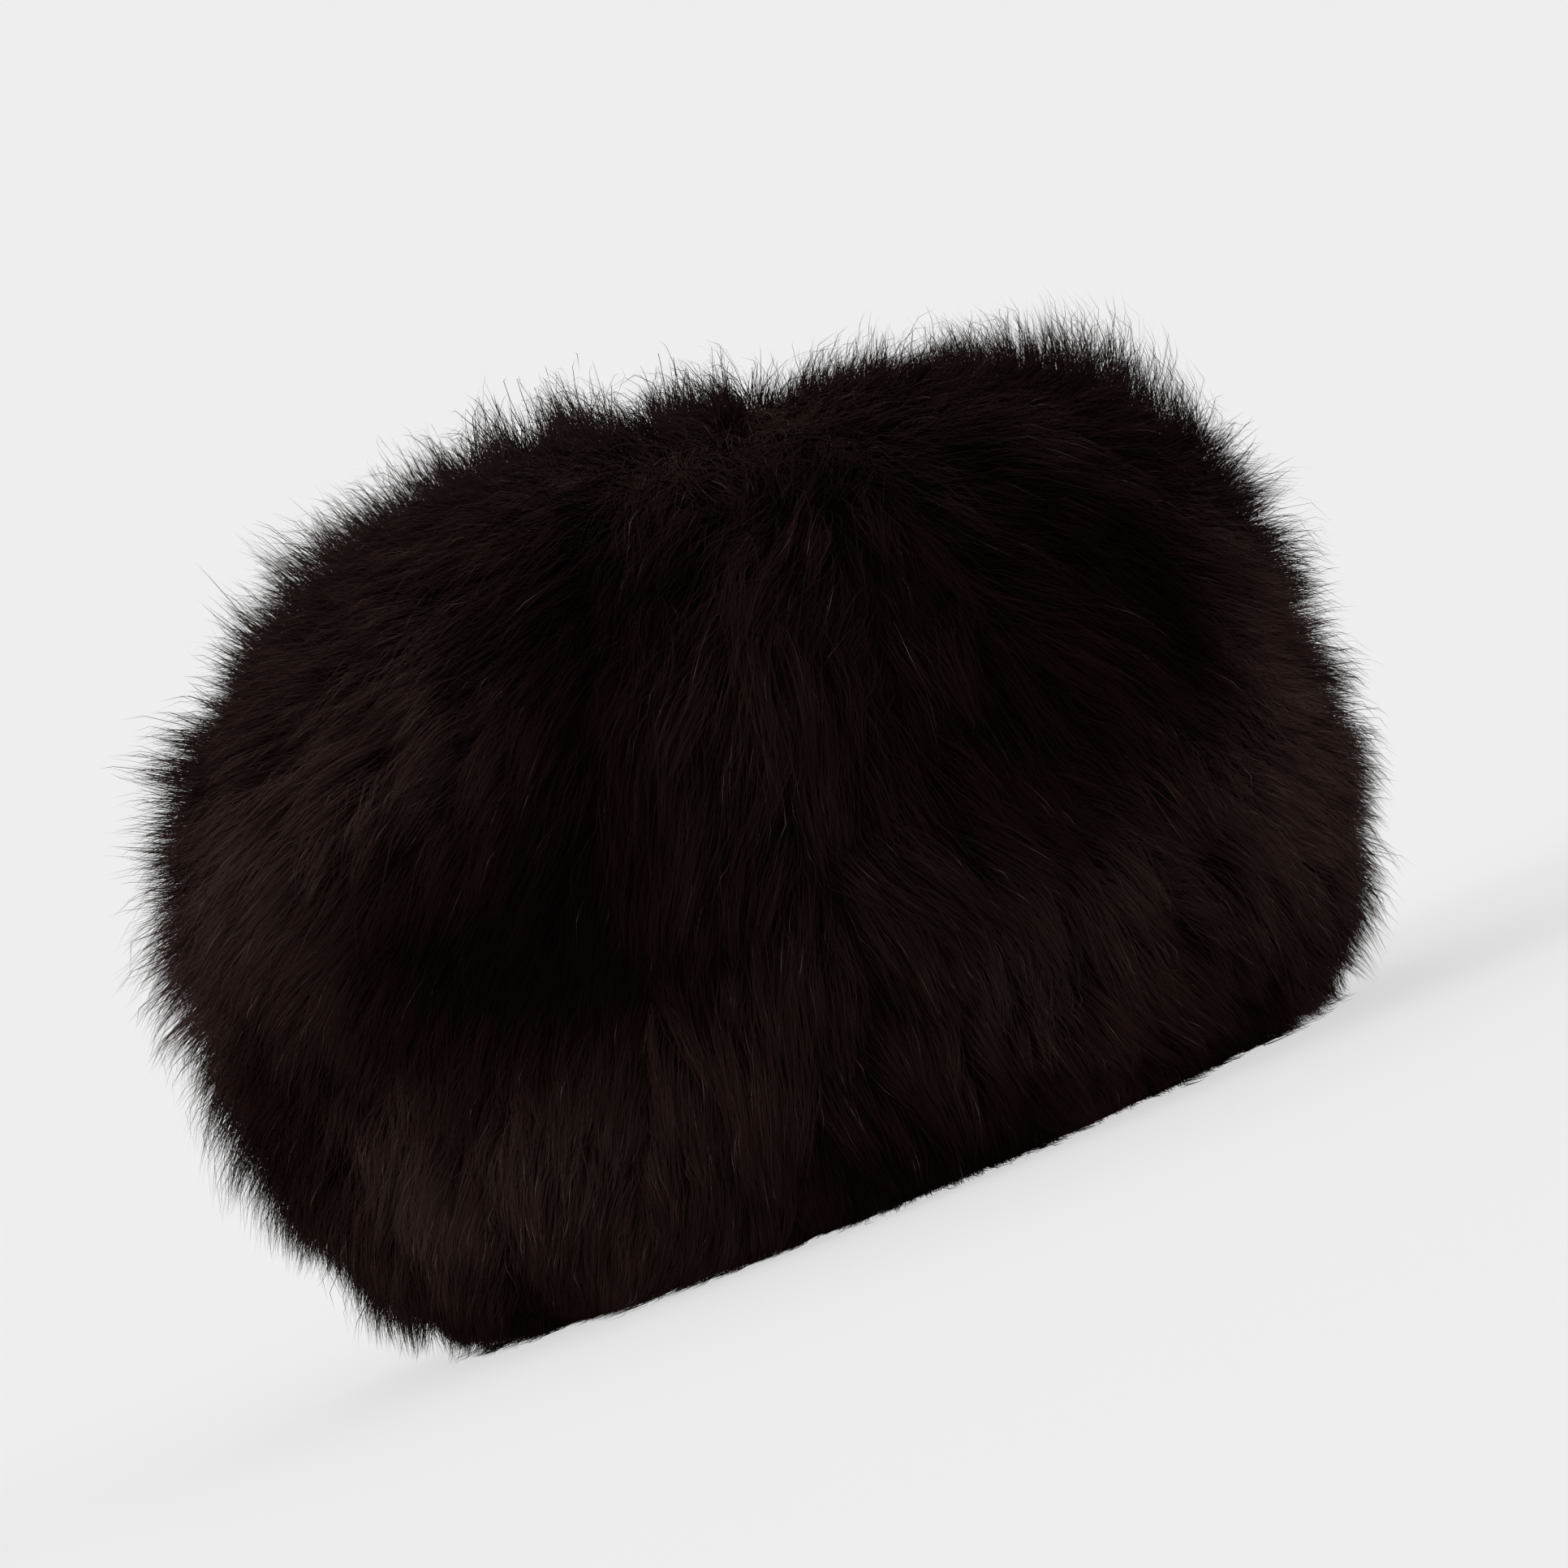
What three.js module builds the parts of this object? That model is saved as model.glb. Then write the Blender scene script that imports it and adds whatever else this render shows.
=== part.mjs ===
// Deep-fur hat: a puffed round crown of fur sewn to a deep fur band that turns in at the head opening.
// Millimetres, +Z up. The hat stands on its rim on the floor, z = 0, and Z runs up through its middle.
// +X is the right side, and -Y the side that the whorl of the crown leans to.
import * as THREE from 'three';
import { LoftGeometry } from 'three/addons/geometries/LoftGeometry.js';

// Driving dimensions
const peltThickness = 2; // the leather of the skins
const sewnGap = 0.6; // clearance between neighbouring pieces
const columns = 60; // points around each section; a lock of fur takes two of them
const foot = { outer: 10, inner: -2 }; // the flat ring of pressed fur, from the rim's half-widths outwards

// The fur side of the pelts, from the whorl over the crown, down the band and in under the rim.
// x, y: centre of the section; across, deep: its half-widths; z: mean height; far, left: how much higher its
// far and left points stand; crease: how far it dips at the crease in the crown; fur: depth of the fur on it.
const sections = [
  { name: 'whorl', x: 15, y: -37, across: 6, deep: 5, z: 150, far: 2, left: 0, crease: 0, fur: 17 },
  { name: 'whorl edge', x: 12, y: -29, across: 28, deep: 24, z: 155, far: 8, left: 4, crease: 2, fur: 22 },
  { name: 'crown top', x: 5, y: -14, across: 60, deep: 54, z: 159, far: 15, left: 6, crease: 6, fur: 26 },
  { name: 'crown slope', x: 1, y: -5, across: 91, deep: 86, z: 147, far: 13, left: 2, crease: 5, fur: 27 },
  { name: 'crown shoulder', x: 0, y: 0, across: 111, deep: 107, z: 129, far: 8, left: 0, crease: 2, fur: 27 },
  { name: 'crown side', x: 0, y: 0, across: 118, deep: 114, z: 107, far: 4, left: 0, crease: 0, fur: 26 },
  { name: 'seam', x: 0, y: 0, across: 117, deep: 113, z: 88, far: 2, left: 0, crease: 0, fur: 25 },
  { name: 'band top', x: 0, y: 0, across: 119, deep: 115, z: 70, far: 1, left: 0, crease: 0, fur: 24 },
  { name: 'band', x: 0, y: 0, across: 119, deep: 115, z: 50, far: 0, left: 0, crease: 0, fur: 22 },
  { name: 'band foot', x: 0, y: 0, across: 115, deep: 111, z: 27, far: 0, left: 0, crease: 0, fur: 16 },
  { name: 'turn', x: 0, y: 0, across: 106, deep: 101, z: 10, far: 0, left: 0, crease: 0, fur: 10 },
  { name: 'rim', x: 0, y: 0, across: 97, deep: 92, z: 4, far: 0, left: 0, crease: 0, fur: 4 },
  { name: 'head opening', x: 0, y: 0, across: 90, deep: 85, z: 9, far: 0, left: 0, crease: 0, fur: 3 },
  { name: 'hem', x: 0, y: 0, across: 90, deep: 85, z: 22, far: 0, left: 0, crease: 0, fur: 0 },
];
const crease = { angle: THREE.MathUtils.degToRad(64), width: THREE.MathUtils.degToRad(17) };
const place = (name) => sections.findIndex((section) => section.name === name);

// Places along the pelts are counted in sections. Pelts and furs part a little to each side of the seam.
const part = { pelt: 0.01, fur: 0.03 };
const innerEdge = { at: place('head opening') + 0.2, lift: 2.5 }; // the end of the band's fur in the opening

// Tiers of locks: from, to: the places of the first and last roots; count: how many tiers;
// length: how far a lock runs on past its root.
const crownTiers = { from: 0.35, to: 4.8, count: 7, length: 1.36 };
const bandTiers = { from: place('seam') + 0.16, to: 8.95, count: 5, length: 1.05 };

// Beside the seam. lift: share of the depth of the fur; along: how far the band's shoulder lies past its edge
const seamLift = { crownEdge: 0.3, bandEdge: 0.12, bandShoulder: 0.75 };
const bandShoulderAlong = 0.14;

// How a lock stands on its tier. along: share of the lock's length; lift: share of the depth of the fur.
// The gap columns lie between two locks.
const lockShape = {
  root: { along: 0, lift: 0.42 },
  body: { along: 0.55, lift: 0.93 },
  tip: { along: 1, lift: 1.06 },
  gapBody: { along: 0.36, lift: 0.7 },
  gapTip: { along: 0.64, lift: 0.84 },
};
const lockVariation = { length: 0.22, lift: 0.14, lean: 0.55 }; // shares of length, depth and column width

// A repeatable number from -0.5 to 0.5 for a tier and a column
function vary(tier, column) {
  const wave = Math.sin(tier * 12.9898 + column * 78.233) * 43758.5453;
  return wave - Math.floor(wave) - 0.5;
}

// Seen from above the columns run clockwise, so that a loft from the crown down faces outwards
const angleOf = (column) => (-2 * Math.PI * column) / columns;

function sectionPoint(section, angle) {
  const right = Math.cos(angle);
  const back = Math.sin(angle);
  const turn = Math.acos(Math.cos(angle - crease.angle)) / crease.width;
  const dip = section.crease * Math.exp(-turn * turn);
  return new THREE.Vector3(
    section.x + section.across * right,
    section.y + section.deep * back,
    section.z + section.far * back - section.left * right - dip,
  );
}

function meridian(angle) {
  return new THREE.CatmullRomCurve3(sections.map((section) => sectionPoint(section, angle)));
}

function furDepth(at) {
  const first = Math.min(Math.floor(at), sections.length - 2);
  return THREE.MathUtils.lerp(sections[first].fur, sections[first + 1].fur, at - first);
}

// A point that stands lift millimetres off the fur side of the pelts
function skinPoint(at, column, lift) {
  const step = 0.01;
  const share = at / (sections.length - 1);
  const line = meridian(angleOf(column));
  const before = meridian(angleOf(column - step));
  const after = meridian(angleOf(column + step));
  const around = after.getPoint(share).sub(before.getPoint(share));
  const normal = around.cross(line.getTangent(share)).normalize();
  return line.getPoint(share).addScaledVector(normal, lift);
}

const eachColumn = (pointAt) => Array.from({ length: columns }, (_, column) => pointAt(column));
const skinRing = (at, lift) => eachColumn((column) => skinPoint(at, column, lift));

// Places of the sections between two others, with both ends
function placesBetween(from, to) {
  const inside = sections.map((_, at) => at).filter((at) => at > from && at < to);
  return [from, ...inside, to];
}

// One row of a tier: its locks stand on every second column, and the next tier's on the others
function tierRow(tier, root, length, lockPart, gapPart) {
  return eachColumn((column) => {
    const onLock = (column + tier) % 2 === 0;
    const shape = onLock ? lockPart : gapPart;
    const wild = shape.along; // the root keeps its place, and the tip varies most
    const along = shape.along * length * (1 + lockVariation.length * vary(tier, column) * wild);
    const depth = furDepth(root + along);
    const lift = depth * shape.lift * (1 + lockVariation.lift * vary(tier + 0.5, column) * wild);
    const lean = onLock ? lockVariation.lean * vary(column, tier) * wild : 0;
    return skinPoint(root + along, column + lean, lift);
  });
}

function tierRows({ from, to, count, length }, firstTier) {
  const { root, body, tip, gapBody, gapTip } = lockShape;
  return Array.from({ length: count }, (_, i) => {
    const tier = firstTier + i;
    const at = THREE.MathUtils.lerp(from, to, i / (count - 1));
    return [
      tierRow(tier, at, length, root, root),
      tierRow(tier, at, length, body, gapBody),
      tierRow(tier, at, length, tip, gapTip),
    ];
  }).flat();
}

// A ring drawn together to its middle, which closes the end of a loft
function drawnTogether(ring) {
  const middle = new THREE.Vector3();
  ring.forEach((point) => middle.addScaledVector(point, 1 / ring.length));
  return ring.map(() => middle);
}

const dome = (rows) => new LoftGeometry([drawnTogether(rows[0]), ...rows, drawnTogether(rows.at(-1))]);
const band = (rows) => new LoftGeometry([...rows, rows[0]]);

// A wall of pelt between two places: its fur side, then its leather side back
function peltWall(from, to) {
  const places = placesBetween(from, to);
  const furSide = places.map((at) => skinRing(at, 0));
  const leatherSide = places.toReversed().map((at) => skinRing(at, -peltThickness));
  return [...furSide, ...leatherSide];
}

// The flat ring on the floor that the fur is pressed into under the rim
function footRing(out) {
  const rim = sections[place('rim')];
  const ring = { ...rim, across: rim.across + out, deep: rim.deep + out, z: 0 };
  return eachColumn((column) => sectionPoint(ring, angleOf(column)));
}

const backing = (from, to) => placesBetween(from, to).toReversed().map((at) => skinRing(at, sewnGap));
const furRing = (at, share) => skinRing(at, furDepth(at) * share);

const crownPelt = () => dome(peltWall(0, place('seam') - part.pelt));
const bandPelt = () => band(peltWall(place('seam') + part.pelt, place('hem')));

function crownFur() {
  const edge = place('seam') - part.fur;
  const locks = tierRows(crownTiers, 0);
  return dome([furRing(0, 1), ...locks, furRing(edge, seamLift.crownEdge), ...backing(0, edge)]);
}

function bandFur() {
  const edge = place('seam') + part.fur;
  return band([
    furRing(edge, seamLift.bandEdge),
    furRing(edge + bandShoulderAlong, seamLift.bandShoulder),
    ...tierRows(bandTiers, crownTiers.count).slice(1), // the shoulder stands for the roots of the first tier
    footRing(foot.outer),
    footRing(foot.inner),
    skinRing(innerEdge.at, innerEdge.lift),
    ...backing(edge, innerEdge.at),
  ]);
}

const leather = new THREE.MeshStandardMaterial({ color: 0x3a2a22, roughness: 0.85, metalness: 0 });
const fur = new THREE.MeshStandardMaterial({ color: 0x1c1110, roughness: 0.7, metalness: 0 });

function piece(name, geometry, material) {
  const mesh = new THREE.Mesh(geometry, material);
  mesh.name = name;
  return mesh;
}

const hat = new THREE.Group();
hat.add(
  piece('crown_pelt', crownPelt(), leather),
  piece('crown_fur', crownFur(), fur),
  piece('band_pelt', bandPelt(), leather),
  piece('band_fur', bandFur(), fur),
);

// The hat's box is centred over the origin
const box = new THREE.Box3().setFromObject(hat);
const centre = box.getCenter(new THREE.Vector3());
hat.position.set(-centre.x, -centre.y, 0);

export default hat;
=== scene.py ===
# A deep-fur hat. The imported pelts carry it, and an undercoat and coats of single hairs stand
# for its two furs.
import math

import bpy
import numpy as np
from mathutils import Matrix, Vector, noise
from mathutils.bvhtree import BVHTree
from mathutils.kdtree import KDTree


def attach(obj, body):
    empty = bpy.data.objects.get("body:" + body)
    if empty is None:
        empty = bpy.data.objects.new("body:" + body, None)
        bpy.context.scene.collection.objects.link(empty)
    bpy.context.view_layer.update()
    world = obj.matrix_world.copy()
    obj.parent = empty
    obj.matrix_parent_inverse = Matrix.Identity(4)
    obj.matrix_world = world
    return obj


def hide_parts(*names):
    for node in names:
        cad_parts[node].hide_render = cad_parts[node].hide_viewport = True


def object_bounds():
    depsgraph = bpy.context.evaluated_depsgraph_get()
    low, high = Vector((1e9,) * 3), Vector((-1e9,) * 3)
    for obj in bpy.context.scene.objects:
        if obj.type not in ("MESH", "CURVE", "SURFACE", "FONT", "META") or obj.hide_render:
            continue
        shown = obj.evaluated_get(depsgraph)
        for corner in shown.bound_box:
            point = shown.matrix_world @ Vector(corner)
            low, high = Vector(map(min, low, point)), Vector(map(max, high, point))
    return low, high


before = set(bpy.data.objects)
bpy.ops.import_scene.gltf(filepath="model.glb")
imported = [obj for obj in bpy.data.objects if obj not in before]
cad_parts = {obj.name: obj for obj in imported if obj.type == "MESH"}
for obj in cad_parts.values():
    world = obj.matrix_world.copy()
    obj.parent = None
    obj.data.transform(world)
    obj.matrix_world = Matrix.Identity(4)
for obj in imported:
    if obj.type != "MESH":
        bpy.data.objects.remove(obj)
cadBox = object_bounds()
mm = 0.001
tiny = 1e-9  # keeps a length of nothing from dividing


class Wire:
    # a socket that sums and products can be written with, and the way to any other node
    def __init__(self, tree, socket=None):
        self.tree = tree
        self.socket = socket

    def node(self, kind, settings=None, sockets=None, output=0):
        made = self.tree.nodes.new(kind)
        for name, value in (settings or {}).items():
            if name == "stops":
                while len(made.color_ramp.elements) < len(value):
                    made.color_ramp.elements.new(0.5)
                for stop, (place, colour) in zip(made.color_ramp.elements, value):
                    stop.position = place
                    stop.color = (*colour, 1)
            else:
                setattr(made, name, value)
        for name, value in (sockets or {}).items():
            if isinstance(value, Wire):
                self.tree.links.new(value.socket, made.inputs[name])
            else:
                made.inputs[name].default_value = value
        return Wire(self.tree, made.outputs[output] if made.outputs else None)

    def maths(self, operation, left, right):
        return self.node("ShaderNodeMath", {"operation": operation}, {0: left, 1: right})

    def __add__(self, other):
        return self.maths("ADD", self, other)

    def __radd__(self, other):
        return self.maths("ADD", other, self)

    def __sub__(self, other):
        return self.maths("SUBTRACT", self, other)

    def __rsub__(self, other):
        return self.maths("SUBTRACT", other, self)

    def __mul__(self, other):
        return self.maths("MULTIPLY", self, other)

    def __rmul__(self, other):
        return self.maths("MULTIPLY", other, self)


def newMaterial(name):
    material = bpy.data.materials.new(name)
    material.use_nodes = True
    material.node_tree.nodes.clear()
    return material, Wire(material.node_tree)


def finish(wire, shader):
    wire.node("ShaderNodeOutputMaterial", sockets={"Surface": shader})


def mixColours(wire, share, first, second, blend="MIX"):
    # the colour sockets of a Mix node are its sixth and seventh, and its colour output the third
    settings = {"data_type": "RGBA", "blend_type": blend}
    return wire.node("ShaderNodeMix", settings, {0: share, 6: first, 7: second}, output=2)


def objectPlace(wire):
    return wire.node("ShaderNodeTexCoord", output=3)


def noiseAt(wire, place, scale, detail, roughness):
    sockets = {"Vector": place, "Scale": scale, "Detail": detail, "Roughness": roughness}
    return wire.node("ShaderNodeTexNoise", sockets=sockets)


def selectOnly(*objects):
    bpy.ops.object.select_all(action="DESELECT")
    for item in objects:
        item.select_set(True)
    bpy.context.view_layer.objects.active = objects[0]


# Camera: the hat is seen with its left side low, as worn on a tilted head
cameraLook = {
    "aim": (0.010, 0.0, 0.096),
    "distance": 1.10,
    "height": 0.075,  # above the floor
    "roll": 21.9,  # degrees that the rim rises to the right
    "pictureWidth": 0.3715,  # metres across the picture, at the hat
    "sensor": 36.0,
    "near": 0.01,
}


def placeCamera(look):
    print("camera")
    aim = Vector(look["aim"])
    rise = look["height"] - aim.z
    run = math.sqrt(look["distance"] ** 2 - rise**2)
    place = aim + Vector((0, -run, rise))
    turn = (aim - place).to_track_quat("-Z", "Y").to_matrix()
    turn = turn @ Matrix.Rotation(-math.radians(look["roll"]), 3, "Z")
    bpy.ops.object.camera_add(location=place, rotation=turn.to_euler())
    camera = bpy.context.object
    camera.data.sensor_width = look["sensor"]
    camera.data.lens = look["sensor"] * look["distance"] / look["pictureWidth"]
    camera.data.clip_start = look["near"]
    bpy.context.scene.camera = camera


placeCamera(cameraLook)

# The skin: the fur side of both pelts as one sheet. Hair grows on it, and it isn't shown.
skinLook = {
    "pelts": ("crown_pelt", "band_pelt"),
    "furs": ("crown_fur", "band_fur"),
    "same": 0.05 * mm,  # points nearer than this are one
    "flat": math.radians(60),  # triangles that meet flatter than this become quads
    "reach": 1.6 * mm,  # from the pelt to the back of its fur
    "seam": 1.2 * mm,  # the gap between the pelts that the sheet closes
    "deepest": 45 * mm,
    "step": 0.01 * mm,  # past each face on the way out through a fur
    "lock": 11 * mm,  # the tips of the solid locks this near set the depth of the fur
    "tips": 82,  # percentile
    "smoothing": 1,
}


def treeOf(item):
    return BVHTree.FromPolygons(
        [vertex.co for vertex in item.data.vertices],
        [face.vertices for face in item.data.polygons],
    )


def makeSkin(look):
    print("skin")
    pelts = [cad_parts[name] for name in look["pelts"]]
    furs = [treeOf(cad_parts[name]) for name in look["furs"]]
    selectOnly(*pelts)
    bpy.ops.object.duplicate()
    bpy.ops.object.join()
    skin = bpy.context.object
    skin.name = "skin"
    skin.parent = None
    for key in list(skin.keys()):
        del skin[key]
    bpy.ops.object.mode_set(mode="EDIT")
    bpy.ops.mesh.select_mode(type="FACE")
    bpy.ops.mesh.select_all(action="SELECT")
    bpy.ops.mesh.remove_doubles(threshold=look["same"])
    bpy.ops.mesh.tris_convert_to_quads(face_threshold=look["flat"], shape_threshold=look["flat"])
    bpy.ops.mesh.select_all(action="DESELECT")
    bpy.ops.object.mode_set(mode="OBJECT")
    # only the faces that look at a fur stay
    for face in skin.data.polygons:
        hits = [tree.ray_cast(face.center, face.normal, look["reach"])[0] for tree in furs]
        face.select = not any(hit is not None for hit in hits)
    bpy.ops.object.mode_set(mode="EDIT")
    bpy.ops.mesh.delete(type="FACE")
    bpy.ops.mesh.select_all(action="SELECT")
    bpy.ops.mesh.remove_doubles(threshold=look["seam"])
    bpy.ops.object.mode_set(mode="OBJECT")
    smooth = skin.modifiers.new("smooth", "SUBSURF")
    smooth.levels = look["smoothing"]
    smooth.render_levels = look["smoothing"]
    bpy.ops.object.modifier_apply(modifier="smooth")
    return skin


def lastWayOut(tree, start, direction, look):
    gone = 0.0
    out = 0.0
    while gone < look["deepest"]:
        place, normal, face, distance = tree.ray_cast(
            start + direction * gone, direction, look["deepest"] - gone)
        if place is None:
            break
        gone += distance + look["step"]
        if normal.dot(direction) > 0:
            out = gone
    return out


def furDepths(skin, look):
    # how deep the two fur solids stand on each point of the skin
    furs = [treeOf(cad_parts[name]) for name in look["furs"]]
    points = skin.data.vertices
    raw = [max(lastWayOut(tree, point.co, point.normal, look) for tree in furs)
           for point in points]
    near = KDTree(len(points))
    for index, point in enumerate(points):
        near.insert(point.co, index)
    near.balance()
    around = [[index for place, index, far in near.find_range(point.co, look["lock"])]
              for point in points]
    tips = np.array([np.percentile([raw[index] for index in group], look["tips"])
                     for group in around])
    return np.array([tips[group].mean() for group in around])


def numbersOf(collection, attribute, width):
    values = np.empty(len(collection) * width)
    collection.foreach_get(attribute, values)
    return values.reshape(-1, width)


def unit(vectors):
    return vectors / np.maximum(np.linalg.norm(vectors, axis=1), tiny)[:, None]


def dots(first, second):
    return (first * second).sum(1)[:, None]


skin = makeSkin(skinLook)
skin.data.calc_loop_triangles()
skinPoints = numbersOf(skin.data.vertices, "co", 3)
skinNormals = numbersOf(skin.data.vertices, "normal", 3)
skinTriangles = numbersOf(skin.data.loop_triangles, "vertices", 3).astype(int)
skinAreas = numbersOf(skin.data.loop_triangles, "area", 1)[:, 0]

# Soft forms of the coat: where (mm), how far they reach (mm), and what they add to its depth,
# its tone, its lean and how flat it lies. The tone that they add is painted light and shade:
# lighter where the hat is lit, darker in its hollows, low down and where it is shaded
forms = {
    "top of the crown": ((-15, 5, 162), 58, 0.30, 0.28, -0.2, 0.0),
    "top right": ((102, 8, 144), 34, 0.22, 0.12, -1.2, 0.0),
    "right of the parting": ((62, 18, 162), 26, -0.14, 0.06, -0.8, 0.0),
    "parting": ((38, 12, 160), 12, 0.10, 0.0, -0.3, 0.0),
    "first tall tuft": ((88, 8, 150), 12, 0.28, 0.0, -0.6, 0.0),
    "second tall tuft": ((106, 4, 135), 12, 0.24, 0.0, -0.6, 0.0),
    "third tall tuft": ((115, -2, 118), 14, 0.12, 0.0, -0.3, 0.0),
    "left shoulder": ((-92, -30, 140), 50, -0.14, 0.45, 0.0, 0.0),
    "left front": ((-62, -78, 133), 34, 0.0, 0.55, 0.0, 0.0),
    "left edge": ((-112, -20, 105), 38, 0.20, 0.35, -0.5, 0.0),
    "upper left edge": ((-84, 5, 150), 44, 0.0, 0.55, -0.9, 0.0),
    "edge of the crown": ((-18, 20, 164), 38, 0.0, 0.0, -0.8, 0.0),
    "edge by the parting": ((18, 20, 162), 22, 0.0, 0.0, -0.5, 0.0),
    # painted shade: these forms darken the tone in the hollows, under the crown and low down
    "hollow under the crown": ((-61, -97, 86), 27, -0.30, -0.40, 0.0, 0.0),
    "end of the hollow": ((-34, -108, 80), 20, -0.18, -0.30, 0.0, 0.0),
    "hollow at the edge": ((-102, -52, 72), 22, -0.10, -0.44, 0.0, 0.0),
    "right hollow": ((46, -101, 90), 24, -0.12, -0.36, 0.0, 0.0),
    "upper right": ((88, -50, 145), 45, -0.05, -0.04, 0.0, 0.0),
    "right front": ((79, -69, 110), 29, 0.0, -0.44, 0.0, 0.0),
    "low left": ((-80, -62, 10), 28, 0.0, -0.42, 0.0, 0.0),
    "low middle": ((10, -98, 10), 30, 0.0, -0.45, 0.0, 0.0),
    "low right": ((78, -72, 10), 28, 0.0, -0.52, 0.0, 0.0),
    "right side": ((125, 25, 80), 60, 0.0, 0.42, 0.0, 0.0),
    "back, right": ((60, 115, 85), 65, 0.0, 0.40, 0.0, 0.0),
    "back, left": ((-60, 115, 85), 65, 0.0, 0.40, 0.0, 0.0),
    "left side": ((-128, 35, 80), 50, 0.0, 0.30, 0.0, 0.0),
    "band, left": ((-50, -104, 42), 28, 0.12, 0.28, 0.0, 0.0),
    "band, far left": ((-88, -74, 44), 30, 0.0, 0.50, 0.0, 0.0),
    "band, middle": ((-8, -115, 45), 28, 0.10, 0.16, 0.0, 0.0),
    "band, right": ((52, -103, 40), 32, 0.06, 0.38, 0.0, 0.0),
    "right edge": ((102, -55, 54), 38, 0.0, 0.60, 0.0, 0.0),
    "far right edge": ((118, -5, 95), 48, -0.02, 0.10, -0.7, 0.0),
    "low left edge": ((-100, -20, 35), 32, -0.14, 0.0, 0.0, 0.0),
    "middle": ((20, -105, 115), 34, 0.08, 0.18, 0.0, 0.0),
    "left of the middle": ((-14, -96, 124), 24, 0.0, -0.26, 0.0, 0.0),
    "over the hollow": ((-38, -106, 90), 18, 0.0, -0.26, 0.0, 0.0),
    # painted light: these forms lighten the tone where the light falls on the hat
    "light on the left": ((-46, -84, 120), 20, 0.0, 0.34, 0.0, 0.0),
    "left of the hollow": ((-68, -92, 66), 14, 0.0, 0.14, 0.0, 0.0),
    "light on the top right": ((76, -58, 138), 26, 0.0, 0.40, 0.0, 0.0),
    "light on the right": ((108, -46, 100), 22, 0.0, 0.40, 0.0, 0.0),
    "light on the low right": ((92, -76, 42), 22, 0.0, 0.16, 0.0, 0.0),
    "light on the band": ((26, -108, 40), 20, 0.0, 0.16, 0.0, 0.0),
    "light by the parting": ((0, -15, 165), 26, 0.0, 0.20, 0.0, 0.0),
    "whorl": ((18, -34, 155), 38, 0.0, 0.20, 0.0, 0.30),
    "near slope": ((25, -78, 145), 58, 0.0, 0.0, 0.0, 0.65),
    "far slope": ((0, 40, 165), 60, 0.0, 0.0, 0.0, 0.30),
}
mostLaid = 0.8  # of the forms' flatness, where they overlap


def formsAt(points):
    added = np.zeros((4, len(points)))
    for place, reach, *change in forms.values():
        far = np.linalg.norm(points / mm - np.array(place), axis=1) / reach
        added += np.outer(change, np.exp(-far * far))
    depth, tone, lean, laid = added
    return {"depth": depth, "tone": tone, "lean": lean, "laid": np.clip(laid, 0, mostLaid)}


depths = furDepths(skin, skinLook) * (1 + formsAt(skinPoints)["depth"])
print("fur depth", depths.min(), depths.max())


def rootsOnSkin(count, dice):
    # places spread evenly over the skin, with its normal and the depth of the fur there
    chosen = skinTriangles[dice.choice(len(skinAreas), count, p=skinAreas / skinAreas.sum())]
    first, second = dice.random((2, count))
    over = first + second > 1
    first[over] = 1 - first[over]
    second[over] = 1 - second[over]
    shares = np.stack([1 - first - second, first, second], 1)
    points, normals, depth = [
        np.einsum("ij,ij...->i...", shares, values[chosen])
        for values in (skinPoints, skinNormals, depths)]
    return points, unit(normals), depth


cloudStep = (7.3, 3.1, 5.7)  # from the noise of one seed to that of the next


def cloudy(points, scale, seed):
    # smooth noise about 0 at each point
    shift = Vector([seed * step for step in cloudStep])
    return np.array([noise.noise(Vector(point) / scale + shift) for point in points])


# How the hair lies: out from a parting over the crown, and down the band
combing = {
    "partingFront": (0.030, -0.012),
    "partingBack": (0.034, 0.052),
    "down": (-0.30, 0.0, -0.95),
    "downOnCrown": 0.42,
    "downOnBand": 1.5,
    "bandTop": 0.098,
    "bandFoot": 0.060,
    "awayOnBand": 0.6,  # share of the way out from the parting that is lost on the band
    "sweep": 0.52,  # how much the hair of the right half runs back round the hat as well
    "sweepFrom": -0.045,
    "sweepOver": 0.090,
    "calm": 0.5,  # how much straighter the hair lies left of the right half
    "calmFrom": 0.060,
    "calmOver": 0.060,
    "swirl": math.radians(25),
    "swirlReach": 0.030,
    "upright": 0.012,  # hair stands up nearer to the parting than this
    "leastLean": 0.7,  # share of its lean that it keeps there
    "wander": math.radians(52),  # of whole tufts
    "tuft": 26 * mm,
    "stray": math.radians(44),  # of single locks
    "lock": 8 * mm,
}


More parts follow.
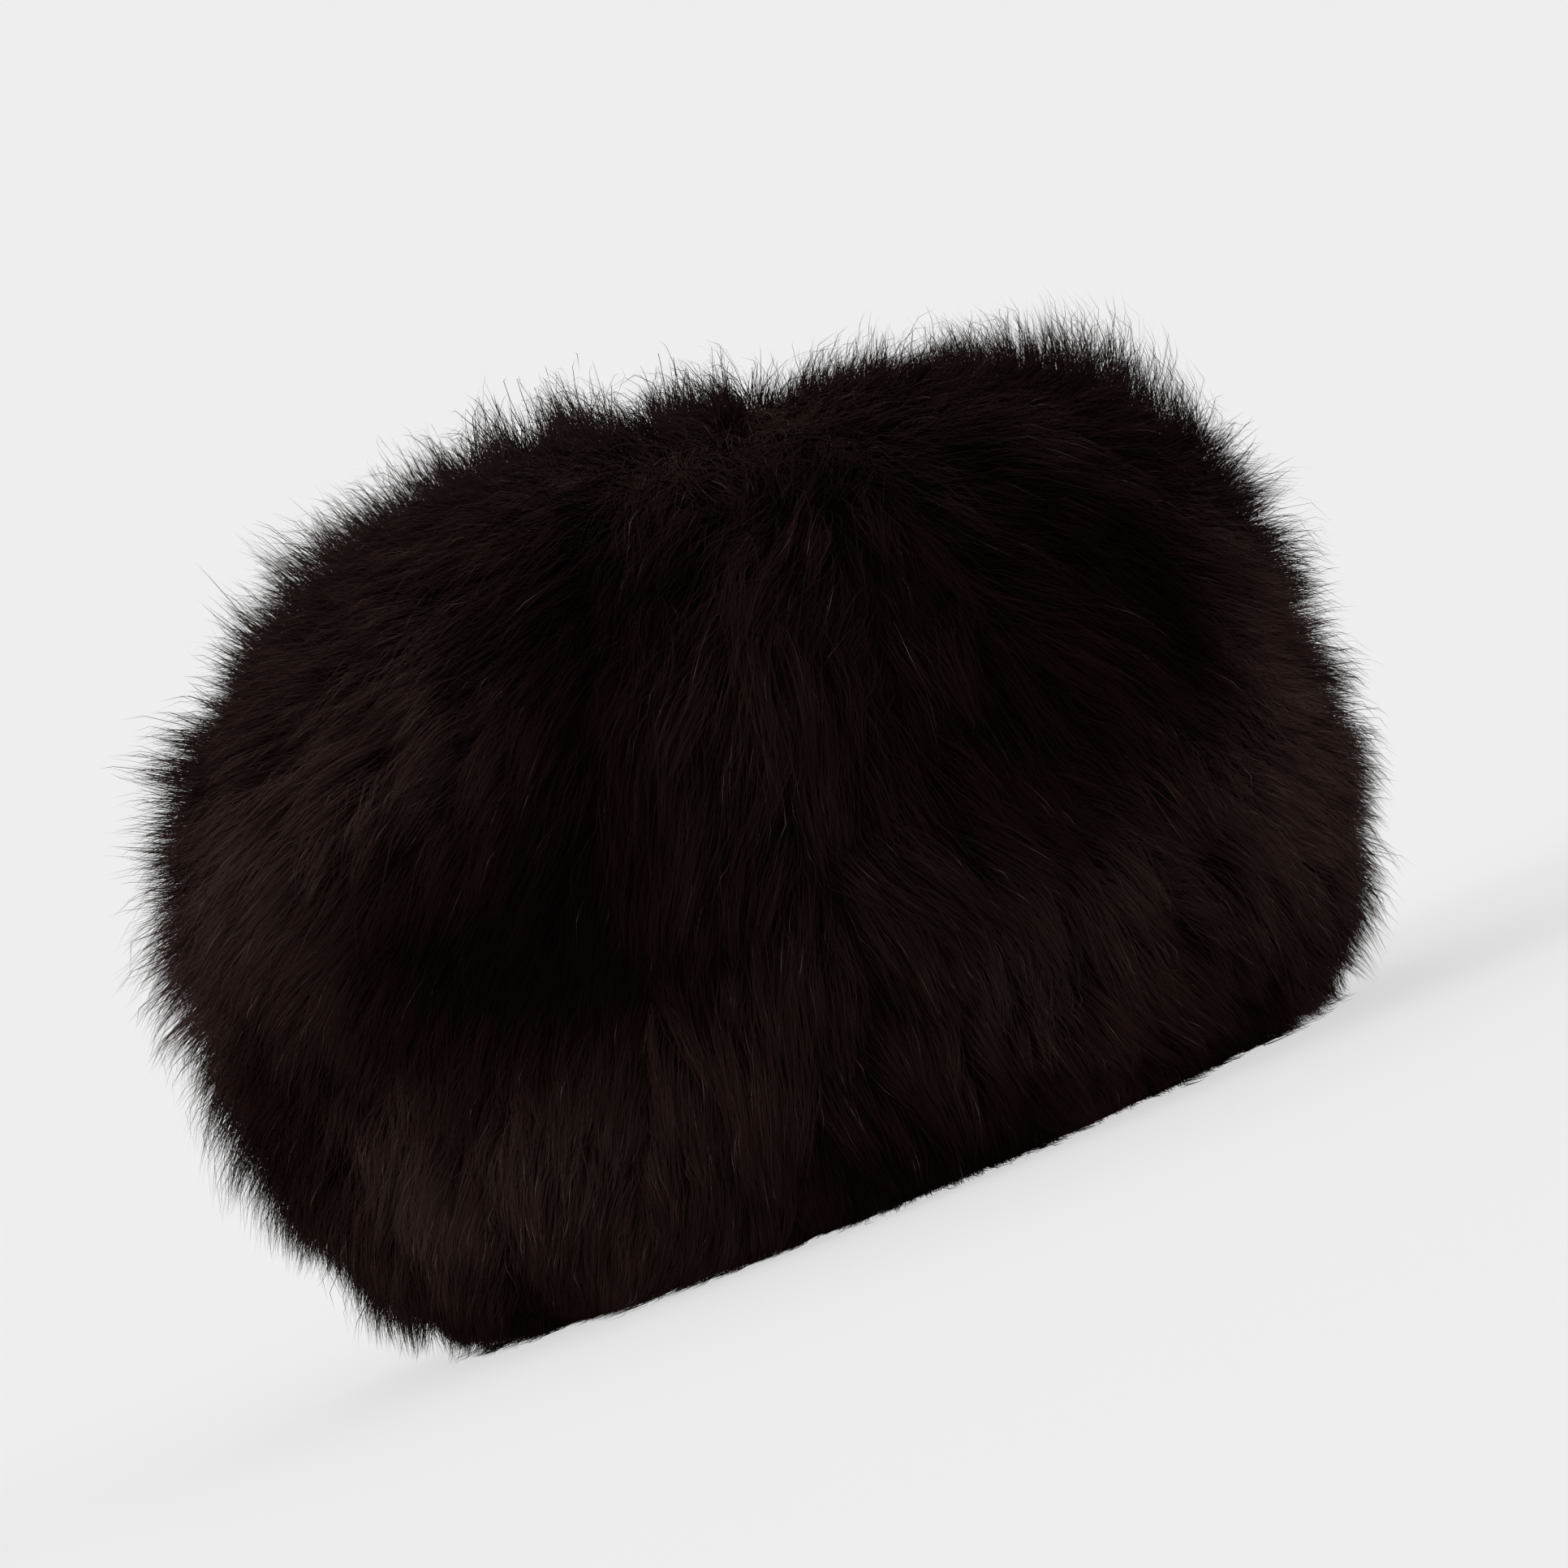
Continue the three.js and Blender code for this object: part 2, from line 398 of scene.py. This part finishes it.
def combedFlow(points, normals, comb):
    front = np.array([*comb["partingFront"], 0])
    parting = np.array([*comb["partingBack"], 0]) - front
    share = np.clip((points - front) @ parting / (parting @ parting), 0, 1)
    away = points - front - parting * share[:, None]
    away[:, 2] = 0
    distance = np.linalg.norm(away, axis=1)
    high, low = comb["bandTop"], comb["bandFoot"]
    onBand = np.clip((high - points[:, 2]) / (high - low), 0, 1)[:, None]
    down = comb["downOnCrown"] + (comb["downOnBand"] - comb["downOnCrown"]) * onBand
    around = unit(np.cross(np.array([0, 0, 1]), normals))
    swept = np.clip((points[:, 0] - comb["sweepFrom"]) / comb["sweepOver"], 0, 1)[:, None]
    flow = unit(away) * (1 - comb["awayOnBand"] * onBand)
    flow += (np.array(comb["down"]) + around * comb["sweep"] * swept) * down
    flow = unit(flow - normals * dots(flow, normals))
    turn = comb["swirl"] * np.exp(-distance / comb["swirlReach"])
    left = np.clip((comb["calmFrom"] - points[:, 0]) / comb["calmOver"], 0, 1)
    stir = 1 - comb["calm"] * left
    turn += stir * comb["wander"] * cloudy(points, comb["tuft"], seed=1)
    turn += stir * comb["stray"] * cloudy(points, comb["lock"], seed=2)
    across = np.cross(normals, flow)
    flow = flow * np.cos(turn)[:, None] + across * np.sin(turn)[:, None]
    return flow * np.clip(distance / comb["upright"], comb["leastLean"], 1)[:, None]


# A hair is a bent line: its root, where it sets off to, and how it bends over
lineLook = {
    "shortest": 7 * mm,
    "lengths": (0.82, 1.12),  # shares of the length that its coat has there
    "rises": (0.12, 0.99),  # how steeply it may stand, 1 upright
}


def growLines(points, normals, depth, flow, look, dice):
    count = len(points)
    start = depth * dice.uniform(*look["root"], count)
    shortTip, longTip = look["tip"]
    top = depth * (shortTip + (longTip - shortTip) * dice.random(count) ** look["rarity"])
    start += formsAt(points)["laid"] * np.maximum(top - start, 0)
    length = np.clip(depth * look["length"], lineLook["shortest"], look["longest"])
    length = length * dice.uniform(*lineLook["lengths"], count)
    rise = np.clip((top - start) / length + look["bend"], *lineLook["rises"])
    lean = np.sqrt(1 - rise**2)
    root = points + normals * start[:, None]
    setOff = (normals * rise[:, None] + flow * lean[:, None]) * length[:, None]
    droop = np.array(combing["down"]) * look["droop"] + (flow - normals) * look["bend"]
    return root, setOff, droop * length[:, None], length


def alongLine(line, share):
    root, setOff, bend = line[:3]
    share = np.asarray(share)
    if share.ndim:
        share = share[:, None]
    return root + setOff * share + bend * share**2


# Guides: one line for each lock, which the hairs around it lean to
guideLook = {
    "seed": 11,
    "count": 9500,
    "root": (0.50, 0.60),  # roots and tips are shares of the depth of the fur
    "tip": (0.92, 1.10),
    "rarity": 1.0,  # above 1, long hairs are rarer than short ones
    "length": 0.84,
    "longest": 34 * mm,
    "bend": 0.20,
    "droop": 0.04,
    "tuftCount": 1600,  # larger tufts that the locks lean to
    "tuftPull": 0.45,
    "leans": (-0.4, 1),
    "uneven": 0.08,  # how much the locks differ in depth from their neighbours
    "unevenTufts": 0.16,
    "mostUneven": 1.6,  # times those
    "unevenPatches": 0.15,
    "patch": 21 * mm,
    "tone": 0.38,
    "tonePatches": 0.22,
    "tonePatch": 24 * mm,
    "toneLocks": 0.13,
    "toneLock": 7 * mm,
}


def nearestOf(points, centres):
    tree = KDTree(len(centres))
    for index, centre in enumerate(centres):
        tree.insert(centre, index)
    tree.balance()
    return np.array([tree.find(point)[1] for point in points])


def makeGuides(look):
    print("guides")
    dice = np.random.default_rng(look["seed"])
    most = look["mostUneven"]
    points, normals, depth = rootsOnSkin(look["count"], dice)
    tufts = nearestOf(points, points[: look["tuftCount"]])
    uneven = look["unevenPatches"] * cloudy(points, look["patch"], seed=3)
    uneven += look["unevenTufts"] * np.clip(
        dice.normal(size=look["tuftCount"]), -most, most)[tufts]
    uneven += look["uneven"] * np.clip(dice.normal(size=len(points)), -most, most)
    depth = depth * (1 + uneven)
    added = formsAt(points)
    flow = combedFlow(points, normals, combing)
    flow = flow * np.clip(1 + added["lean"], *look["leans"])[:, None]
    root, setOff, bend, length = growLines(points, normals, depth, flow, look, dice)
    tip = root + setOff + bend
    bend = bend + (tip[tufts] - tip) * look["tuftPull"]
    # each lock's tone: a base, the painted light and shade of the forms, and random patches and
    # locks
    tone = look["tone"] + added["tone"]
    tone += look["tonePatches"] * cloudy(points, look["tonePatch"], seed=5)
    tone += look["toneLocks"] * cloudy(points, look["toneLock"], seed=6)
    return {
        "points": points,
        "depth": depth,
        "flow": flow,
        "line": (root, setOff, bend),
        "length": length,
        "tone": tone,
    }


guides = makeGuides(guideLook)

# No hair stands further out of the box of the solids than this, or reaches under the floor
trim = {
    "side": 9 * mm,
    "top": 15 * mm,
    "uneven": 0.5,  # the hairs that are trimmed end up to this share short of it
    "step": 0.01 * mm,  # the least way towards a wall that counts
    "nearFloor": 1 * mm,  # no trimming under this height
    "shortest": 0.1,  # the share of a hair that stays at least
    "floorGap": 0.4 * mm,
    "floorGaps": (1, 4),  # times that, from hair to hair
    "slide": 0.8,  # how far outwards a hair slides on the floor for each part that it is lifted
}


def keepInBox(rows, look, dice):
    # a hair that would end outside is drawn back along its own line
    count = len(rows[0])
    room = dice.uniform(1 - look["uneven"], 1, count)[:, None]
    low = np.array(cadBox[0]) - np.array([look["side"], look["side"], 0]) * room
    high = np.array(cadBox[1]) + np.array([look["side"], look["side"], look["top"]]) * room
    share = np.ones(count)
    for row in rows[1:]:
        step = row - rows[0]
        space = np.where(step > 0, high - rows[0], low - rows[0])
        least = look["step"] * np.where(step < 0, -1, 1)
        step = np.where(np.abs(step) < look["step"], least, step)
        clear = row[:, 2:] > look["nearFloor"]
        share = np.minimum(share, np.where(clear, space / step, 1).min(1))
    share = np.clip(share, look["shortest"], 1)[:, None]
    return [rows[0] + (row - rows[0]) * share for row in rows]


def keepOffFloor(rows, points, look, dice):
    # hair that would reach under the floor lies along it, out from the hat
    outward = unit(points * np.array([1, 1, 0]))
    least = look["floorGap"] * dice.uniform(*look["floorGaps"], len(points))
    for row in rows:
        under = np.maximum(least - row[:, 2], 0)
        row += outward * (look["slide"] * under)[:, None]
        row[:, 2] += under
    return rows


# Each hair is a flat strip that tapers to its tip. Its map holds its tone across, and the way
# from root to tip up.
stripLook = {
    "twist": 1.35,  # radians either way
    "nudge": 1e-6,  # for hairs that run straight out of the skin
    "widths": (0.75, 1.3),
    "taper": 0.55,
    "tones": (0.02, 0.96),
    # glints are highlights painted into the hairs' colour, commoner where the tone, painted
    # light included, is light
    "glintTones": (0.965, 0.985),  # a hair with such a tone has a glint
    "glintRise": 4.0,  # glints are more usual on light hair than on dark
    "glintFrom": 1.2,
    "glintShares": (0.15, 2.4),
    "glintWidth": 0.65,
    "mapWidth": 0.006,
    "mapFoot": 0.01,
    "mapHeight": 0.98,
}


def hairTones(tone, coat, look, dice):
    # the tone of each hair, and which of them have a glint, a highlight painted into its colour
    count = len(tone)
    tone = np.clip(tone + coat["toneSpread"] * dice.normal(size=count), *look["tones"])
    share = np.clip(look["glintRise"] * tone - look["glintFrom"], *look["glintShares"])
    glints = dice.random(count) < coat["glints"] * share
    low, high = look["glintTones"]
    tone[glints] = high - (high - low) * dice.random(glints.sum())
    return tone, glints


def layStrips(rows, normals, width, twist, tone, look):
    # the corners of the strips, the ways that they are lit from, and their places on the map
    count = len(normals)
    joints = len(rows) - 1
    corners = np.empty((count, 2 * joints + 1, 3))
    shading = np.empty_like(corners)
    marks = np.empty((count, 2 * joints + 1, 2))
    for step, row in enumerate(rows):
        along = unit(rows[min(step + 1, joints)] - rows[max(step - 1, 0)])
        across = unit(np.cross(along, normals))
        over = np.cross(across, along)
        side = across * np.cos(twist) + over * np.sin(twist)
        share = step / joints
        half = (0.5 * width * (1 - share) ** look["taper"])[:, None]
        facing = unit(normals - along * dots(normals, along) + look["nudge"])
        edges = (0,) if step == joints else (-1, 1)
        for corner, edge in enumerate(edges, 2 * step):
            corners[:, corner] = row + edge * side * half
            shading[:, corner] = facing
            marks[:, corner, 0] = tone + look["mapWidth"] * (edge > 0)
            marks[:, corner, 1] = look["mapFoot"] + look["mapHeight"] * share
    return corners, shading, marks


def stripFaces(count, joints):
    pattern = []
    for step in range(joints - 1):
        left = 2 * step
        pattern += [(left, left + 1, left + 2), (left + 1, left + 3, left + 2)]
    pattern.append((2 * joints - 2, 2 * joints - 1, 2 * joints))
    firsts = np.arange(count) * (2 * joints + 1)
    return (np.array(pattern)[None] + firsts[:, None, None]).reshape(-1, 3)


def stripMesh(name, rows, normals, tone, coat, material, dice):
    count = len(normals)
    look = stripLook
    twist = dice.uniform(-look["twist"], look["twist"], count)[:, None]
    width = coat["width"] * mm * dice.uniform(*look["widths"], count)
    tone, glints = hairTones(tone, coat, look, dice)
    width[glints] *= look["glintWidth"]
    corners, shading, marks = layStrips(rows, normals, width, twist, tone, look)
    faces = stripFaces(count, len(rows) - 1)
    mesh = bpy.data.meshes.new(name)
    mesh.vertices.add(corners.size // 3)
    mesh.vertices.foreach_set("co", corners.ravel())
    mesh.loops.add(faces.size)
    mesh.loops.foreach_set("vertex_index", faces.ravel())
    mesh.polygons.add(len(faces))
    mesh.polygons.foreach_set("loop_start", np.arange(len(faces)) * 3)
    mesh.update(calc_edges=True)
    layer = mesh.uv_layers.new(name="OFBake")
    places = marks.reshape(-1, 2)[faces.ravel()]
    layer.uv.foreach_set("vector", places.astype(np.float32).ravel())
    mesh.normals_split_custom_set_from_vertices(shading.reshape(-1, 3))
    mesh.materials.append(material)
    hair = bpy.data.objects.new(name, mesh)
    bpy.context.scene.collection.objects.link(hair)
    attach(hair, "root")
    print(name, "triangles", len(faces))


def makeCoat(name, look, material):
    print("coat", name)
    dice = np.random.default_rng(look["seed"])
    count = look["hairs"]
    points, normals, depth = rootsOnSkin(count, dice)
    mine = nearestOf(points, guides["points"])
    depth = depth + (guides["depth"][mine] - depth) * look["asLock"]
    flow = guides["flow"][mine] * look["lean"] + look["loose"] * dice.normal(size=(count, 3))
    flow = flow - normals * dots(flow, normals)
    line = growLines(points, normals, depth, flow, look, dice)
    guideLine = [part[mine] for part in guides["line"]]
    reach = np.clip(line[3] / guides["length"][mine], *look["reaches"])
    pull = look["pull"] * dice.uniform(*look["pulls"], count)
    wave = dice.normal(size=(count, 3)) * look["wave"] * mm
    rows = []
    for share in np.linspace(0, 1, look["joints"] + 1):
        own = alongLine(line, share)
        led = alongLine(guideLine, share * reach)
        row = own + (led - own) * (pull * share ** look["pullCurve"])[:, None]
        rows.append(row + wave * math.sin(look["waveTurn"] * share))
    rows = keepInBox(rows, trim, dice)
    rows = keepOffFloor(rows, points, trim, dice)
    stripMesh(name, rows, normals, guides["tone"][mine], look, material, dice)


furLook = {
    # the colours of the hairs from the darkest tone to the lightest, by turns redder and greyer
    "tones": [
        (0.0, (0.0044, 0.0023, 0.0021)),
        (0.30, (0.0100, 0.0046, 0.0038)),
        (0.45, (0.0126, 0.0074, 0.0060)),
        (0.60, (0.0190, 0.0098, 0.0082)),
        (0.76, (0.0238, 0.0146, 0.0120)),
        (0.95, (0.0335, 0.0190, 0.0162)),
    ],
    "shade": [(0.0, (0.7,) * 3), (0.5, (1.0,) * 3)],  # from the roots up
    # glint: a highlight painted into the colour, along the stretch of the hair that the gleam
    # ramp picks
    "glint": (0.105, 0.080, 0.069, 1),
    "glintTones": [(0.962, (0, 0, 0)), (0.986, (1, 1, 1))],
    "gleam": [(0.48, (0, 0, 0)), (0.62, (1, 1, 1)), (0.68, (1, 1, 1)), (0.79, (0, 0, 0))],
    "roughness": 0.65,
    "specular": 0.0,
}


def furMaterial(name, look):
    material, wire = newMaterial(name)
    place = wire.node("ShaderNodeUVMap", {"uv_map": "OFBake"})
    parts = wire.node("ShaderNodeSeparateXYZ", sockets={0: place}).socket.node.outputs
    tone, along = Wire(wire.tree, parts[0]), Wire(wire.tree, parts[1])
    base = wire.node("ShaderNodeValToRGB", {"stops": look["tones"]}, {0: tone})
    shade = wire.node("ShaderNodeValToRGB", {"stops": look["shade"]}, {0: along})
    shaded = mixColours(wire, 1.0, base, shade, "MULTIPLY")
    # painted highlights: hairs with a glint tone take the glint colour along the gleam
    bright = wire.node("ShaderNodeValToRGB", {"stops": look["glintTones"]}, {0: tone})
    gleam = wire.node("ShaderNodeValToRGB", {"stops": look["gleam"]}, {0: along})
    shader = wire.node("ShaderNodeBsdfPrincipled", sockets={
        "Base Color": mixColours(wire, bright * gleam, shaded, look["glint"]),
        "Roughness": look["roughness"],
        "Specular IOR Level": look["specular"],
    })
    finish(wire, shader)
    return material


furStuff = furMaterial("guard_hair", furLook)

# Undercoat: the dense short fur under the long hairs
undercoatLook = {
    "height": 0.44,  # share of the depth of the fur
    "lumps": 0.10,
    "lump": 14 * mm,
    "tufts": 0.08,
    "tuft": 5 * mm,
    "laid": 0.30,  # how much higher it stands under hair that lies flat
    "low": 0.40,  # and how much higher beside the floor
    "lowReach": 16 * mm,
    "heights": (0.1, 1),
    "floorGap": 0.3 * mm,
    "wall": 1.2 * mm,
    "colour": (0.0060, 0.0029, 0.0026, 1),
    "tips": (0.0140, 0.0070, 0.0062, 1),
    "tuftNoise": (260.0, 4.0, 0.6),  # scale, detail and roughness of the pattern
    "patchNoise": (45.0, 2.0, 0.5),
    "tuftShare": 0.7,  # how much each of them changes the colour
    "patchShare": 0.5,
    "darker": 0.25,
    "roughness": 0.85,
    "bump": 0.6,
    "bumpHeight": 1.5 * mm,
}


def undercoatMaterial(look):
    material, wire = newMaterial("undercoat")
    place = objectPlace(wire)
    tufts = noiseAt(wire, place, *look["tuftNoise"])
    patches = noiseAt(wire, place, *look["patchNoise"])
    share = tufts * look["tuftShare"] + patches * look["patchShare"] - look["darker"]
    bump = wire.node("ShaderNodeBump", sockets={
        "Height": tufts,
        "Strength": look["bump"],
        "Distance": look["bumpHeight"],
    })
    shader = wire.node("ShaderNodeBsdfPrincipled", sockets={
        "Base Color": mixColours(wire, share, look["colour"], look["tips"]),
        "Normal": bump,
        "Roughness": look["roughness"],
        "Specular IOR Level": 0.0,
    })
    finish(wire, shader)
    return material


def makeUndercoat(look):
    print("undercoat")
    selectOnly(skin)
    bpy.ops.object.duplicate()
    coat = bpy.context.object
    coat.name = "undercoat"
    height = look["height"] + look["lumps"] * cloudy(skinPoints, look["lump"], seed=8)
    height += look["tufts"] * cloudy(skinPoints, look["tuft"], seed=9)
    height += look["laid"] * formsAt(skinPoints)["laid"]
    height += look["low"] * np.clip(1 - skinPoints[:, 2] / look["lowReach"], 0, 1)
    lift = depths * np.clip(height, *look["heights"])
    points = skinPoints + skinNormals * lift[:, None]
    points[:, 2] = np.maximum(points[:, 2], look["floorGap"])
    coat.data.vertices.foreach_set("co", points.ravel())
    wall = coat.modifiers.new("wall", "SOLIDIFY")
    wall.thickness = look["wall"]
    wall.offset = -1
    bpy.ops.object.modifier_apply(modifier="wall")
    bpy.ops.object.shade_smooth()
    coat.data.materials.clear()
    coat.data.materials.append(undercoatMaterial(look))
    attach(coat, "root")
    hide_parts("crown_fur", "band_fur")


makeUndercoat(undercoatLook)

bodyCoat = {
    "hairs": 38000,
    "joints": 3,
    "width": 0.26,  # mm
    "root": (0.30, 0.56),  # roots and tips are shares of the depth of the fur
    "tip": (0.86, 1.18),
    "rarity": 1.0,  # above 1, long hairs are rarer than short ones
    "length": 0.80,
    "longest": 34 * mm,
    "bend": 0.20,
    "droop": 0.03,
    "asLock": 0.75,  # how much of its depth a hair takes from its lock
    "pull": 0.68,  # how much it leans to its lock, at the tip
    "pullCurve": 1.4,
    "pulls": (0.55, 1.1),
    "reaches": (0.6, 1.15),
    "lean": 1.0,
    "loose": 0.16,
    "wave": 0.3,  # mm
    "waveTurn": 2.4,
    "toneSpread": 0.055,
    # share of hairs with a painted highlight, a glint
    "glints": 0.04,
}
shortCoat = {
    **bodyCoat,
    "hairs": 64000,
    "joints": 2,
    "width": 0.28,
    "glints": 0.0,
}
looseCoat = {
    **bodyCoat,
    "width": 0.20,
    "root": (0.48, 0.62),
    "tip": (1.00, 1.60),
    "rarity": 1.4,
    "length": 1.12,
    "longest": 38 * mm,
    "bend": 0.14,
    "pull": 0.62,
    "lean": 0.45,
    "loose": 0.20,
    "glints": 0.06,
}
coats = {
    "short_coat_a": {**shortCoat, "seed": 21, "tip": (0.72, 0.98)},
    "short_coat_b": {**shortCoat, "seed": 22, "tip": (0.82, 1.06)},
    "long_coat": {**bodyCoat, "seed": 23},
    "loose_coat_a": {**looseCoat, "seed": 24, "tip": (0.92, 1.34), "lean": 0.65, "pull": 0.82},
    "loose_coat_b": {**looseCoat, "seed": 25},
}
for name, look in coats.items():
    makeCoat(name, look, furStuff)

bpy.data.objects.remove(skin)

# The flesh side of the pelts: dark suede
suedeLook = {
    "dark": (0.020, 0.011, 0.008, 1),
    "light": (0.060, 0.036, 0.025, 1),
    "patchNoise": (28.0, 5.0, 0.62),  # scale, detail and roughness of the pattern
    "napNoise": (900.0, 3.0, 0.7),
    "creaseScale": 55.0,
    "patchShare": 0.9,  # how much each of them changes the colour
    "napShare": 0.35,
    "darker": 0.25,
    "napHeight": 0.4,
    "creaseHeight": 0.8,
    "roughness": 0.88,
    "specular": 0.2,
    "bump": 0.35,
    "bumpHeight": 0.6 * mm,
}


def suedeMaterial(look):
    material, wire = newMaterial("pelt_suede")
    place = objectPlace(wire)
    patches = noiseAt(wire, place, *look["patchNoise"])
    nap = noiseAt(wire, place, *look["napNoise"])
    creases = wire.node("ShaderNodeTexVoronoi", {"feature": "DISTANCE_TO_EDGE"},
                        {"Vector": place, "Scale": look["creaseScale"]})
    share = patches * look["patchShare"] + nap * look["napShare"] - look["darker"]
    bump = wire.node("ShaderNodeBump", sockets={
        "Height": nap * look["napHeight"] + creases * look["creaseHeight"],
        "Strength": look["bump"],
        "Distance": look["bumpHeight"],
    })
    shader = wire.node("ShaderNodeBsdfPrincipled", sockets={
        "Base Color": mixColours(wire, share, look["dark"], look["light"]),
        "Normal": bump,
        "Roughness": look["roughness"],
        "Specular IOR Level": look["specular"],
    })
    finish(wire, shader)
    return material


suede = suedeMaterial(suedeLook)
for name in skinLook["pelts"]:
    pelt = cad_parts[name]
    pelt.data.materials.clear()
    pelt.data.materials.append(suede)

# Studio: a pale floor without an edge, and soft light from all round and above
studioLook = {
    "backdrop": 0.855,  # how bright the camera sees it
    "skyLight": 0.32,  # and how much light it gives
    "floorSize": 60.0,
    "floorParts": 4,
    "floorTints": ((0.80, 0.80, 0.80, 1), (0.82, 0.82, 0.82, 1)),
    "grainNoise": (3.0, 2.0, 0.5),
    "floorShine": 0.846,
    "glow": 0.72,  # share of the floor that shines by itself
    # each lamp: where it stands from the hat, its strength, and how wide it spreads in degrees
    "lamps": {
        "left lamp": ((-1.6, -0.75, 0.55), 2.3, 45),
        "right lamp": ((1.6, -0.5, 0.35), 1.3, 45),
        "front lamp": ((0.1, -2.0, 0.25), 0.8, 50),
        "top lamp": ((-0.6, -0.5, 2.0), 0.5, 60),
        "back lamp": ((-0.3, 1.4, 1.00), 1.5, 70),
    },
}
white = (1, 1, 1, 1)


def floorMaterial(look):
    material, wire = newMaterial("pale_floor")
    grain = noiseAt(wire, objectPlace(wire), *look["grainNoise"])
    tint = mixColours(wire, grain, *look["floorTints"])
    lit = wire.node("ShaderNodeBsdfDiffuse", sockets={"Color": tint})
    shine = {"Color": white, "Strength": look["floorShine"]}
    own = wire.node("ShaderNodeEmission", sockets=shine)
    finish(wire, wire.node("ShaderNodeMixShader", sockets={0: look["glow"], 1: lit, 2: own}))
    return material


def makeStudio(look):
    print("studio")
    bpy.ops.object.select_all(action="DESELECT")
    parts = look["floorParts"]
    bpy.ops.mesh.primitive_grid_add(
        x_subdivisions=parts, y_subdivisions=parts, size=look["floorSize"])
    floor = bpy.context.object
    floor.name = "floor"
    floor.data.materials.append(floorMaterial(look))
    world = bpy.data.worlds.new("studio")
    bpy.context.scene.world = world
    world.use_nodes = True
    world.node_tree.nodes.clear()
    sky = Wire(world.node_tree)
    seen = sky.node("ShaderNodeLightPath", output=0)
    strength = look["skyLight"] + seen * (look["backdrop"] - look["skyLight"])
    shade = sky.node("ShaderNodeBackground", sockets={"Color": white, "Strength": strength})
    sky.node("ShaderNodeOutputWorld", sockets={"Surface": shade})
    for name, (stand, strength, spread) in look["lamps"].items():
        turn = Vector(stand).to_track_quat("Z", "Y").to_euler()
        bpy.ops.object.light_add(type="SUN", location=stand, rotation=turn)
        lamp = bpy.context.object
        lamp.name = name
        lamp.data.energy = strength
        lamp.data.angle = math.radians(spread)


makeStudio(studioLook)
bpy.context.scene.view_settings.view_transform = "Standard"
bpy.context.scene.view_settings.look = "None"
